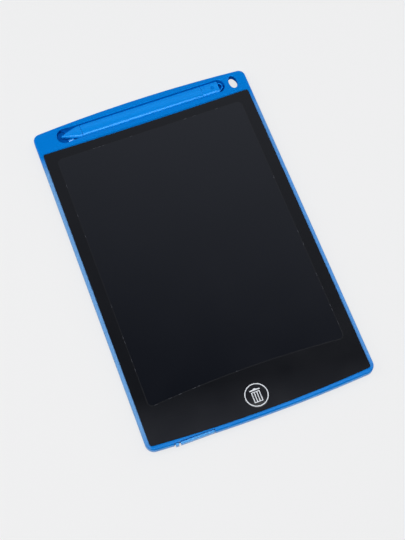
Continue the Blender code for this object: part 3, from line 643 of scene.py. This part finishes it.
def dash_tree(look):
    """Lays short flat dashes along the start mesh's edges, and leaves some out by chance."""
    tree, size = new_tree("dashes_of_" + look.name, {
        "Length": "Float", "Width": "Float", "Height": "Float", "Pitch": "Float",
        "Share": "Float", "Seed": "Int"})
    path = add_node(tree, "GeometryNodeMeshToCurve", {"Mesh": size["Geometry"]})
    steps = add_node(tree, "GeometryNodeResampleCurve", {
        "Curve": path.outputs["Curve"], "Length": size["Pitch"]}, mode="LENGTH")
    extent = add_node(tree, "ShaderNodeCombineXYZ", {
        "X": size["Length"], "Y": size["Width"], "Z": size["Height"]})
    dash = add_node(tree, "GeometryNodeMeshCube", {"Size": extent.outputs["Vector"]})
    along = add_node(tree, "GeometryNodeInputTangent")
    aimed = add_node(tree, "FunctionNodeAlignRotationToVector", {
        "Vector": along.outputs["Tangent"]}, axis="X", pivot_axis="Z")
    chance = add_node(tree, "FunctionNodeRandomValue", {
        "Probability": size["Share"], "Seed": size["Seed"]}, data_type="BOOLEAN")
    placed = add_node(tree, "GeometryNodeInstanceOnPoints", {
        "Points": steps.outputs["Curve"], "Instance": dash.outputs["Mesh"],
        "Selection": chance.outputs["Value"], "Rotation": aimed.outputs["Rotation"]})
    return close_tree(tree, placed.outputs["Instances"], look)


def section_tree(look):
    """Gives each ring of the start mesh the stylus's section.

    A ring's points hold the cosine and sine of their angle as Y and Z. The section is crowned
    above its level and has a flat foot below it; where roundness is 1 it is an ellipse. Each row is
    one Math node: its result, its operation and its terms.
    """
    tree, size = new_tree("stylus_section", {name: "Float" for name in (
        "Half width", "Half height", "Level", "Crown side", "Crown rise", "Foot side", "Foot rise",
        "Middle Y", "Middle Z")})
    values = {socket.name: socket for socket in size if socket.name}
    place = add_node(tree, "GeometryNodeInputPosition").outputs["Position"]
    parts = add_node(tree, "ShaderNodeSeparateXYZ", {"Vector": place})
    values["across"], values["up"] = parts.outputs["Y"], parts.outputs["Z"]
    for name in ("wide", "tall", "inset", "roundness"):
        values[name] = add_node(tree, "GeometryNodeInputNamedAttribute", {
            "Name": name}, data_type="FLOAT").outputs["Attribute"]
    rows = [("above", "GREATER_THAN", "up", -MERGE)]
    for way, bend in (("across", "side"), ("up", "rise")):
        rows += [
            (f"{bend} gap", "SUBTRACT", f"Crown {bend}", f"Foot {bend}"),
            (f"{bend} there", "MULTIPLY_ADD", "above", f"{bend} gap", f"Foot {bend}"),
            (f"{bend} turn", "SUBTRACT", 2, f"{bend} there"),
            (bend, "MULTIPLY_ADD", f"{bend} turn", "roundness", f"{bend} there"),
            (f"{way} sign", "SIGN", way),
            (f"{way} size", "ABSOLUTE", way),
            (f"{way} power", "DIVIDE", 2, bend),
            (f"{way} bent", "POWER", f"{way} size", f"{way} power"),
            (f"{way} part", "MULTIPLY", f"{way} bent", f"{way} sign")]
    rows += [
        ("width left", "SUBTRACT", "Half width", "inset"),
        ("half", "MULTIPLY", "width left", "wide"),
        ("height left", "SUBTRACT", "Half height", "inset"),
        ("top", "MULTIPLY", "height left", "tall"),
        ("flatness", "SUBTRACT", 1, "roundness"),
        ("level there", "MULTIPLY", "Level", "wide"),
        ("lift", "MULTIPLY", "level there", "flatness"),
        ("sway", "MULTIPLY", "up sign", "lift"),
        ("reach", "SUBTRACT", "top", "sway"),
        ("height", "MULTIPLY_ADD", "up part", "reach", "lift"),
        ("Z", "ADD", "height", "Middle Z"),
        ("Y", "MULTIPLY_ADD", "across part", "half", "Middle Y")]
    for result, operation, *terms in rows:
        terms = {i: values.get(term, term) for i, term in enumerate(terms)}
        values[result] = add_node(tree, "ShaderNodeMath", terms, operation=operation).outputs[0]
    point = add_node(tree, "ShaderNodeCombineXYZ", {
        "X": parts.outputs["X"], "Y": values["Y"], "Z": values["Z"]})
    shaped = add_node(tree, "GeometryNodeSetPosition", {
        "Geometry": size["Geometry"], "Position": point.outputs["Vector"]})
    return close_tree(tree, shaped.outputs["Geometry"], look)


# Case

def in_groove(point):
    """Whether a point of the case is in the stylus groove or its finger well."""
    return groove_left < point.x < groove_right and groove_front < point.y < groove_back


def in_hole(point):
    """Whether a point of the case is in the lanyard hole."""
    across = (point.x - lanyard_centre[0]) / lanyard_reach_x
    along = (point.y - lanyard_centre[1]) / lanyard_reach_y
    return across ** 2 + along ** 2 < 1


def draw_in_hole(bm):
    """Shortens the lanyard hole from its lower end, and leaves its upper end where it is."""
    for v in bm.verts:
        if in_hole(v.co):
            along = (v.co.y - lanyard_centre[1]) / lanyard_half
            v.co.y += lanyard_lift * (1 - along) / 2


def mark_recesses(bm, low, high):
    """Gives the second material, a darker blue that paints shade, to the recesses' walls and floors
    between two levels.
    """
    for face in bm.faces:
        middle = face.calc_center_median()
        if low < middle.z < high and (in_groove(middle) or in_hole(middle)):
            face.material_index = 1


def front_frame():
    """Front shell: its side rims roll over in one wide round, and its recesses are painted darker
    as shade.
    """
    bm = node_copy("front_frame")
    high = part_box("front_frame")[1]
    for y in (-rim_roll_end, -rim_roll_full, rim_roll_full, rim_roll_end):
        bmesh.ops.bisect_plane(
            bm, geom=bm.verts[:] + bm.edges[:] + bm.faces[:], plane_co=(0, y, 0),
            plane_no=(0, 1, 0), dist=MERGE)
    for v in bm.verts:
        inward = high.x - abs(v.co.x)
        if v.co.z > rim_roll_low and inward < rim_roll_start + 5 * MERGE:
            share = (rim_roll_end - abs(v.co.y)) / (rim_roll_end - rim_roll_full)
            widened = 1 + (rim_roll_width / rim_roll_start - 1) * min(max(share, 0), 1)
            v.co.x = math.copysign(high.x - inward * widened, v.co.x)
    draw_in_hole(bm)
    mark_recesses(bm, 0, high.z - groove_depth)
    new_piece(
        "front_frame_skin", bm, [case_abs, recess_shade_abs], "case", "case_plastic", "front_frame")


def back_cover():
    """Back shell: the lanyard hole flares out at its back, and the recesses are painted darker as
    shade.
    """
    bm = node_copy("back_cover")
    draw_in_hole(bm)
    mark_recesses(bm, groove_depth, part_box("back_cover")[1].z)
    for v in bm.verts:
        if v.co.z < lanyard_flare_high and in_hole(v.co):
            away = Vector((v.co.x - lanyard_centre[0], v.co.y - lanyard_centre[1], 0))
            v.co += away.normalized() * lanyard_flare
    new_piece("back_cover_skin", bm, [case_abs, recess_shade_abs], "case", "case_plastic", "back_cover")


def groove_rest():
    """Small polished rest in the finger well, whose sloping top catches the light; its paler blue
    is a painted highlight.
    """
    profile = [
        (rest_front, rest_foot), (rest_back, rest_foot), (rest_back, rest_high),
        (rest_front, rest_low)]
    bm = bmesh.new()
    add_loft(bm, [[(x, y, z) for y, z in profile] for x in (rest_left, rest_right)])
    bmesh.ops.recalc_face_normals(bm, faces=bm.faces)
    round_edges(bm, bm.edges[:], small_round, small_round_steps)
    new_piece("groove_rest", bm, [lit_rest_abs], "case", "case_plastic")


# Screen and button

def node_outline(node, height):
    """Outer outline of a CAD node at one height, in order round its middle."""
    bm = merged(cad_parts[node].data)
    ring = {}
    for e in bm.edges:
        level = all(abs(v.co.z - height) < 2 * MERGE for v in e.verts)
        if level and any(abs(f.normal.z) < 0.5 for f in e.link_faces):
            a, b = e.verts
            ring.setdefault(a, []).append(b)
            ring.setdefault(b, []).append(a)
    start = max(ring, key=lambda v: abs(v.co.x) + abs(v.co.y))
    loop, last = [start], None
    while True:
        here = loop[-1]
        step = [v for v in ring[here] if v is not last][0]
        if step is start:
            break
        loop.append(step)
        last = here
    points = [(v.co.x, v.co.y) for v in loop]
    bm.free()
    return points


def window_outline(grow):
    """Outline of the writing window: straight top and sides, and a bowed lower edge."""
    left, right = window_left - grow, window_right + grow
    top, bottom = window_top + grow, window_bottom - grow
    r = window_corner + grow
    half = (right - left) / 2
    middle = (right + left) / 2
    points = arc(right - r, top - r, r, 0, math.pi / 2, corner_steps)
    points += arc(left + r, top - r, r, math.pi / 2, math.pi, corner_steps)
    points += arc(left + r, bottom + r, r, math.pi, 3 * math.pi / 2, corner_steps)
    for i in range(1, bow_steps):
        x = left + r + (right - left - 2 * r) * i / bow_steps
        points.append((x, bottom + window_bow * (1 - ((x - middle) / (half - r)) ** 2)))
    points += arc(right - r, bottom + r, r, 3 * math.pi / 2, 2 * math.pi, corner_steps)[:-1]
    return points


def button_middle():
    """Middle of the button's top."""
    low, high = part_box("erase_button")
    return (low.x + high.x) / 2, (low.y + high.y) / 2, high.z


def screen_zone(within):
    """Border print, sealant or window, by the outlines that a face of the film lies in."""
    in_film, in_seal, in_window, at_button = within
    if at_button or not in_film:
        return None
    return 2 if in_window else 1 if in_seal else 0


def cover_film():
    """Cover film: printed border, a hairline of sealant, and the dark writing window."""
    low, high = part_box("cover_film")
    x, y, _ = button_middle()
    loops = [
        node_outline("cover_film", high.z), window_outline(window_line), window_outline(0),
        circle(x, y, film_hole_radius, film_hole_steps)]
    bm = bmesh.new()
    add_plate(bm, loops, low.z, high.z, screen_zone)
    looks = [border_film, edge_seal, window_film]
    new_piece("cover_film_sheet", bm, looks, "case", "cover_film", "cover_film")


def path_mesh(name, outline, height):
    """Start mesh that is one closed path at a height."""
    count = len(outline)
    return start_mesh(
        name, [(x, y, height) for x, y in outline], [(i, (i + 1) % count) for i in range(count)])


def seal_glints():
    """Pale dashes along the sealant round the window, painted glints of light."""
    path = path_mesh("window_edge", window_outline(window_line / 2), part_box("cover_film")[1].z)
    bm = run_tree(dash_tree(seal_glint), path, {
        "Length": glint_length, "Width": glint_width, "Height": 2 * glint_height,
        "Pitch": glint_pitch, "Share": glint_share, "Seed": glint_seed})
    new_piece("edge_seal_glints", bm, [seal_glint], "case", "lcd_film")


def erase_ring():
    """Pale ring printed on the button."""
    x, y, z = button_middle()
    path = path_mesh("ring_path", circle(x, y, ring_radius, ring_steps), z + print_height / 2)
    bm = run_tree(band_tree(white_ink), path, {"Width": ring_width, "Height": print_height})
    new_piece("erase_ring_print", bm, [white_ink], "button", "nylon")


def whole(within):
    """One zone all over a plate of one loop."""
    return 0 if within[0] else None


def rectangle(left, right, low, high):
    """Corners of a rectangle, anticlockwise from its lower left one."""
    return [(left, low), (right, low), (right, high), (left, high)]


def erase_bin():
    """Plain bin printed on the button: upright bars between two rails, under a lid with a knob."""
    x, y, z = button_middle()
    left = x - bin_width / 2
    right = left + bin_width
    bar = bmesh.new()
    add_plate(
        bar, [rectangle(left, left + stave_width, y + bin_foot, y + bin_top)], z,
        z + print_height, whole)
    pitch = (bin_width - stave_width) / (stave_count - 1)
    bm = run_tree(
        row_tree(white_ink), to_mesh("stave", bar), {"Count": stave_count, "Pitch": (pitch, 0, 0)})
    for low in (y + bin_foot, y + (bin_top - bin_rail)):
        rail = rectangle(left + stave_width / 2, right - stave_width / 2, low, low + bin_rail)
        add_plate(bm, [rail], z, z + rail_height_share * print_height, whole)
    lid_foot = y + lid_low
    lid_top = lid_foot + lid_height
    right_half = (
        (lid_width / 2, lid_foot), (lid_width / 2, lid_foot + lid_edge),
        (lid_knob_width / 2, lid_top), (lid_knob_width / 4, lid_top + lid_knob_height))
    sides = [[(x + way * half, level) for half, level in right_half] for way in (-1, 1)]
    lid = sides[0][:1] + sides[1] + sides[0][:0:-1]
    add_plate(bm, [lid], z, z + print_height, whole)
    new_piece("erase_bin_print", bm, [white_ink], "button", "nylon")


# Stylus

def stylus_lattice(stations):
    """Start mesh of the section tree: a ring per station (x, wide, tall, inset, roundness)."""
    points, faces = [], []
    for x, *_ in stations:
        for i in range(stylus_facets):
            angle = 2 * math.pi * i / stylus_facets
            points.append((x, math.cos(angle), math.sin(angle)))
    for ring in range(len(stations) - 1):
        near = ring * stylus_facets
        for i in range(stylus_facets):
            j = (i + 1) % stylus_facets
            faces.append((near + i, near + j, near + stylus_facets + j, near + stylus_facets + i))
    faces.append(tuple(reversed(range(stylus_facets))))
    faces.append(tuple(range(len(points) - stylus_facets, len(points))))
    mesh = start_mesh("stylus_lattice", points, (), faces)
    for column, name in enumerate(("wide", "tall", "inset", "roundness"), 1):
        attribute = mesh.attributes.new(name, "FLOAT", "POINT")
        attribute.data.foreach_set(
            "value", [float(station[column]) for station in stations for _ in range(stylus_facets)])
    return mesh


def stylus_body(tree, stations):
    """Mesh of a piece of the stylus, skinned over its stations."""
    low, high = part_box("stylus_barrel")
    bm = run_tree(tree, stylus_lattice(stations), {
        "Half width": (high.y - low.y) / 2, "Half height": (high.z - low.z) / 2,
        "Level": crown_level, "Crown side": crown_side, "Crown rise": crown_rise,
        "Foot side": foot_side, "Foot rise": foot_rise,
        "Middle Y": (low.y + high.y) / 2, "Middle Z": (low.z + high.z) / 2})
    for layer in list(bm.verts.layers.float.values()):
        bm.verts.layers.float.remove(layer)
    return bm


def eased_end(x, inward):
    """Stations that round off an end; inward is the way into the piece. The end comes first."""
    stations = []
    for i in range(end_steps + 1):
        angle = math.pi / 2 * i / end_steps
        stations.append((x + inward * end_ease * (1 - math.cos(angle)), 1, 1,
                         end_ease * (1 - math.sin(angle)), 0))
    return stations


def stylus_barrel(tree, left, right):
    """Barrel, with both of its ends rounded off."""
    bm = stylus_body(tree, eased_end(left, 1) + eased_end(right, -1)[::-1])
    new_piece("stylus_barrel_skin", bm, [stylus_abs], "stylus", "stylus_plastic", "stylus_barrel")


def stylus_tip(tree, right):
    """Tip: a round nib, a cone that swells into the section, and a spigot inside the barrel."""
    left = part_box("stylus_tip")[0].x
    low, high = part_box("stylus_barrel")
    root_wide, root_tall = nib_root / ((high.y - low.y) / 2), nib_root / ((high.z - low.z) / 2)
    nib_share = nib_radius / nib_root
    stations = []
    for i in range(nib_rings):
        angle = math.pi / 2 * (i + nib_first_share) / (nib_rings - 1 + nib_first_share)
        share = nib_share * math.sin(angle)
        stations.append((
            left + nib_radius * (1 - math.cos(angle)), root_wide * share, root_tall * share, 0, 1))
    cone_left = left + nib_length
    cone_right = right - collar_length
    stations.append((cone_left - nib_step, root_wide * nib_share, root_tall * nib_share, 0, 1))
    for i in range(cone_rings + 1):
        along = i / cone_rings
        fullness = along * (1 + cone_bulge * (1 - along))
        stations.append((
            cone_left + (cone_right - cone_left) * along, root_wide + (1 - root_wide) * fullness,
            root_tall + (1 - root_tall) * fullness, 0, (1 - along) ** cone_round_power))
    stations += eased_end(right, -1)[::-1]
    stations += [(x, 1, 1, spigot_inset, 0) for x in (right, right + spigot_length)]
    new_piece("stylus_tip_skin", stylus_body(tree, stations), [stylus_abs], "stylus",
              "stylus_plastic", "stylus_tip")


def press_dimple(bm, x, y, top):
    """Presses a round, flat-bottomed dimple into the cap, and gives it the second material, a
    darker blue that paints shade in it.
    """
    for v in bm.verts:
        away = math.hypot(v.co.x - x, v.co.y - y) / dimple_radius
        if away < 1 and v.co.z > top - cap_crown:
            v.co.z -= dimple_depth * (1 - away ** 4) ** 0.5
            for face in v.link_faces:
                face.material_index = 1


def add_eyelet(bm, right, middle_y):
    """Half-round eyelet at the cap's end, with its roots inside the cap."""
    section = []
    for reach, height, start in (
        (eyelet_radius - eyelet_round, eyelet_low + eyelet_round, -90),
        (eyelet_radius - eyelet_round, eyelet_low + eyelet_height - eyelet_round, 0),
        (eyelet_radius - eyelet_wall + eyelet_round, eyelet_low + eyelet_height - eyelet_round, 90),
        (eyelet_radius - eyelet_wall + eyelet_round, eyelet_low + eyelet_round, 180),
    ):
        first = math.radians(start)
        section += arc(
            reach, height, eyelet_round, first, first + math.pi / 2, eyelet_round_steps)
    loops = []
    for i in range(eyelet_steps + 1):
        angle = math.pi * (i / eyelet_steps - 0.5)
        loops.append([
            (right + r * math.cos(angle), middle_y + r * math.sin(angle), z) for r, z in section])
    roots = [[(right - eyelet_root, y, z) for _, y, z in loops[end]] for end in (0, -1)]
    ring = bmesh.new()
    add_loft(ring, [roots[0], *loops, roots[1]])
    bmesh.ops.recalc_face_normals(ring, faces=ring.faces)
    mesh = to_mesh("eyelet", ring)
    bm.from_mesh(mesh)
    bpy.data.meshes.remove(mesh)


def stylus_end_cap(tree, left):
    """End cap: a spigot inside the barrel, a ring groove, a dimple and an eyelet."""
    low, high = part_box("stylus_end_cap")
    right = high.x - eyelet_radius
    middle_y = (low.y + high.y) / 2
    dimple_x = right - dimple_inset
    stations = [(x, 1, 1, spigot_inset, 0) for x in (left - spigot_length, left)]
    stations += eased_end(left, 1)
    stations += [(left + cap_ring_offset + x, 1, 1, inset, 0) for x, inset in cap_ring_profile]
    for i in range(dimple_steps + 1):
        away = 2 * dimple_reach_share * i / dimple_steps - dimple_reach_share
        stations.append((dimple_x + dimple_radius * away, 1, 1, 0, 0))
    stations += eased_end(right, -1)[::-1]
    bm = stylus_body(tree, stations)
    press_dimple(bm, dimple_x, middle_y, high.z)
    add_eyelet(bm, right, middle_y)
    # The second material, the case's darker blue, is the dimple's painted shade
    new_piece("stylus_end_cap_skin", bm, [stylus_abs, case_abs], "stylus", "stylus_plastic",
              "stylus_end_cap")


def stylus():
    """Stylus: tip, barrel and end cap share a section, and meet in seams of their real width."""
    tree = section_tree(stylus_abs)
    left, right = (corner.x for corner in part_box("stylus_barrel"))
    tighter = (stylus_seam - shown_seam) / 2
    stylus_barrel(tree, left - tighter, right + tighter)
    stylus_tip(tree, left - stylus_seam + tighter)
    stylus_end_cap(tree, right + stylus_seam - tighter)


# Tray, latch and inner parts

def tray_piece(node, body):
    """Tray or latch: the lip's upper front edge is well rounded, and the other edges slightly."""
    bm = node_copy(node)
    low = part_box(node)[0]
    front = [e for e in bm.edges if all(abs(v.co.y - low.y) < 5 * MERGE for v in e.verts)]
    top = max(v.co.z for e in front for v in e.verts)
    upper = [e for e in front if all(abs(v.co.z - top) < 5 * MERGE for v in e.verts)]
    round_edges(bm, upper, lip_round, lip_round_steps)
    round_edges(bm, sharp_edges(bm), small_round, small_round_steps)
    new_piece(node + "_skin", bm, [tray_lit_abs], body, "stylus_plastic", node)


def driver_chip_leads():
    """Gull-wing leads along both sides of the driver chip, standing on the board."""
    low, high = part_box("driver_chip")
    board_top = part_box("circuit_board")[1].z
    waist = (low.z + high.z) / 2
    first = (low.x + high.x) / 2 - lead_pitch * (lead_count - 1) / 2 - lead_width / 2
    one = bmesh.new()
    for edge, way in ((low.y, -1), (high.y, 1)):
        profile = [
            (edge + way * share * lead_reach, height)
            for share, height in zip(lead_shares, (waist, waist, board_top, board_top))]
        upper = [(y, z + lead_thickness) for y, z in reversed(profile)]
        add_loft(one, [[(x, y, z) for y, z in profile + upper]
                       for x in (first, first + lead_width)])
    bm = run_tree(
        row_tree(bright_steel), to_mesh("lead", one),
        {"Count": lead_count, "Pitch": (lead_pitch, 0, 0)})
    new_piece("driver_chip_leads", bm, [bright_steel], "case", "steel")


front_frame()
back_cover()
groove_rest()
cover_film()
seal_glints()
rounded_copy("erase_button", border_film, "button", "cover_film", small_round)
erase_ring()
erase_bin()
stylus()
tray_piece("battery_tray", "tray")
tray_piece("tray_latch", "latch")
rounded_copy("cell_can", turned_steel, "tray", "steel", cell_round)
rounded_copy("cell_gasket", seal_ring, "tray", "gasket", small_round)
rounded_copy("cell_cap", turned_steel, "tray", "steel", small_round)
driver_chip_leads()
for look, *inner_nodes in (
    (window_film, "lcd_upper_sheet", "lcd_lower_sheet"), (white_tape, "lcd_mounting_tape"),
    (polyimide, "lcd_tail"), (solder_mask, "circuit_board"),
    (epoxy, "driver_chip", "boost_inductor", "boost_diode", "resistor_1", "resistor_2",
     "switch_body"),
    (ceramic, "capacitor_1", "capacitor_2"), (nylon, "switch_plunger"),
    (bright_steel, "board_screw_1", "board_screw_2", "negative_contact", "positive_contact"),
):
    for inner_node in inner_nodes:
        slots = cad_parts[inner_node].data.materials
        slots.clear()
        slots.append(look)


# Floor, light and camera

def table_top():
    """Pale table top: one even tone to the eye, shaded lightly under and near the tablet."""
    made, tree, place = new_material("pale_table_top")
    away = add_node(tree, "ShaderNodeVectorMath", {0: place}, operation="LENGTH")
    plain = add_node(tree, "ShaderNodeMapRange", {
        "Value": away.outputs["Value"], "From Min": floor_near, "From Max": floor_far,
        "To Min": floor_near_share, "To Max": 1})
    rays = add_node(tree, "ShaderNodeLightPath").outputs
    seen = rays["Is Camera Ray"]
    for kind in ("Is Glossy Ray", "Is Transmission Ray"):
        seen = add_node(tree, "ShaderNodeMath", {
            0: seen, 1: rays[kind]}, operation="MAXIMUM").outputs[0]
    part = add_node(tree, "ShaderNodeMath", {
        0: seen, 1: plain.outputs["Result"]}, operation="MULTIPLY")
    matt = add_node(tree, "ShaderNodeBsdfDiffuse", {"Color": hex_linear(backdrop)})
    glow = add_node(tree, "ShaderNodeEmission", {"Color": hex_linear(backdrop), "Strength": 1})
    mixed = add_node(tree, "ShaderNodeMixShader", {
        0: part.outputs[0], 1: matt.outputs[0], 2: glow.outputs[0]})
    add_node(tree, "ShaderNodeOutputMaterial", {"Surface": mixed.outputs[0]})
    corners = rectangle(-floor_half, floor_half, -floor_half, floor_half)
    mesh = start_mesh("table_top", [(x, y, 0) for x, y in corners], (), [(0, 1, 2, 3)])
    mesh.materials.append(made)
    floor = bpy.data.objects.new("table_top", mesh)
    collection.objects.link(floor)


def studio_room():
    """Small studio: pale walls round the table, and a dim ceiling with a lit band at the back."""
    world = bpy.data.worlds.new("studio_room")
    world.use_nodes = True
    tree = world.node_tree
    tree.nodes.clear()
    place = add_node(tree, "ShaderNodeTexCoord").outputs["Generated"]
    split = add_node(tree, "ShaderNodeSeparateXYZ", {"Vector": place})
    toward = add_node(tree, "ShaderNodeVectorMath", {
        0: place, 1: band_way}, operation="DOT_PRODUCT")
    across = add_node(tree, "ShaderNodeMapRange", {
        "Value": toward.outputs["Value"], "From Min": band_near, "From Max": band_far,
        "To Min": 0, "To Max": 2})
    bow = add_node(tree, "ShaderNodeMath", {
        0: across.outputs["Result"], 1: 1}, operation="PINGPONG")
    above = add_node(tree, "ShaderNodeMix", {
        "Factor": bow.outputs[0], "A": hex_linear(ceiling_dim), "B": hex_linear(ceiling_lit)},
        data_type="RGBA")
    fade = add_node(tree, "ShaderNodeMapRange", {
        "Value": split.outputs["Z"], "From Min": ceiling_low, "From Max": ceiling_full,
        "To Min": 0, "To Max": 1}, interpolation_type="SMOOTHSTEP")
    tone = add_node(tree, "ShaderNodeMix", {
        "Factor": fade.outputs["Result"], "A": hex_linear(backdrop),
        "B": above.outputs["Result"]}, data_type="RGBA")
    shown = add_node(tree, "ShaderNodeBackground", {"Color": tone.outputs["Result"], "Strength": 1})
    add_node(tree, "ShaderNodeOutputWorld", {"Surface": shown.outputs[0]})
    bpy.context.scene.world = world


def softbox(name, place, aim, size, power):
    """Rectangular lamp turned to a point, with its first side level; its power is in watts."""
    light = bpy.data.lights.new(name, "AREA")
    light.shape = "RECTANGLE"
    light.size, light.size_y = size
    light.energy = power
    lamp = bpy.data.objects.new(name, light)
    collection.objects.link(lamp)
    turn = (Vector(aim) - Vector(place)).to_track_quat("-Z", "Y").to_matrix().to_4x4()
    lamp.matrix_world = Matrix.Translation(place) @ turn


def photo_camera():
    """Camera at the photograph's angle."""
    camera = bpy.data.objects.new("camera", bpy.data.cameras.new("camera"))
    camera.data.lens = 86
    camera.data.sensor_width = 36
    camera.location = (-0.11462, -0.29304, 0.73931)
    camera.rotation_euler = [math.radians(angle) for angle in (22.245, -0.551, -20.575)]
    collection.objects.link(camera)
    bpy.context.scene.camera = camera
    bpy.context.scene.view_settings.view_transform = "Standard"


table_top()
studio_room()
softbox("key_softbox", (-0.08, -0.23, 1.2), (-0.08, 0.1, 0), (1.14, 0.34), 9.2)
softbox("left_softbox", (-0.8, 0.3, 0.7), (0, 0, 0), (0.45, 0.9), 3.5)
softbox("right_softbox", (0.8, 0.2, 0.6), (0, 0, 0), (0.45, 0.9), 2.2)
photo_camera()

bpy.context.view_layer.update()
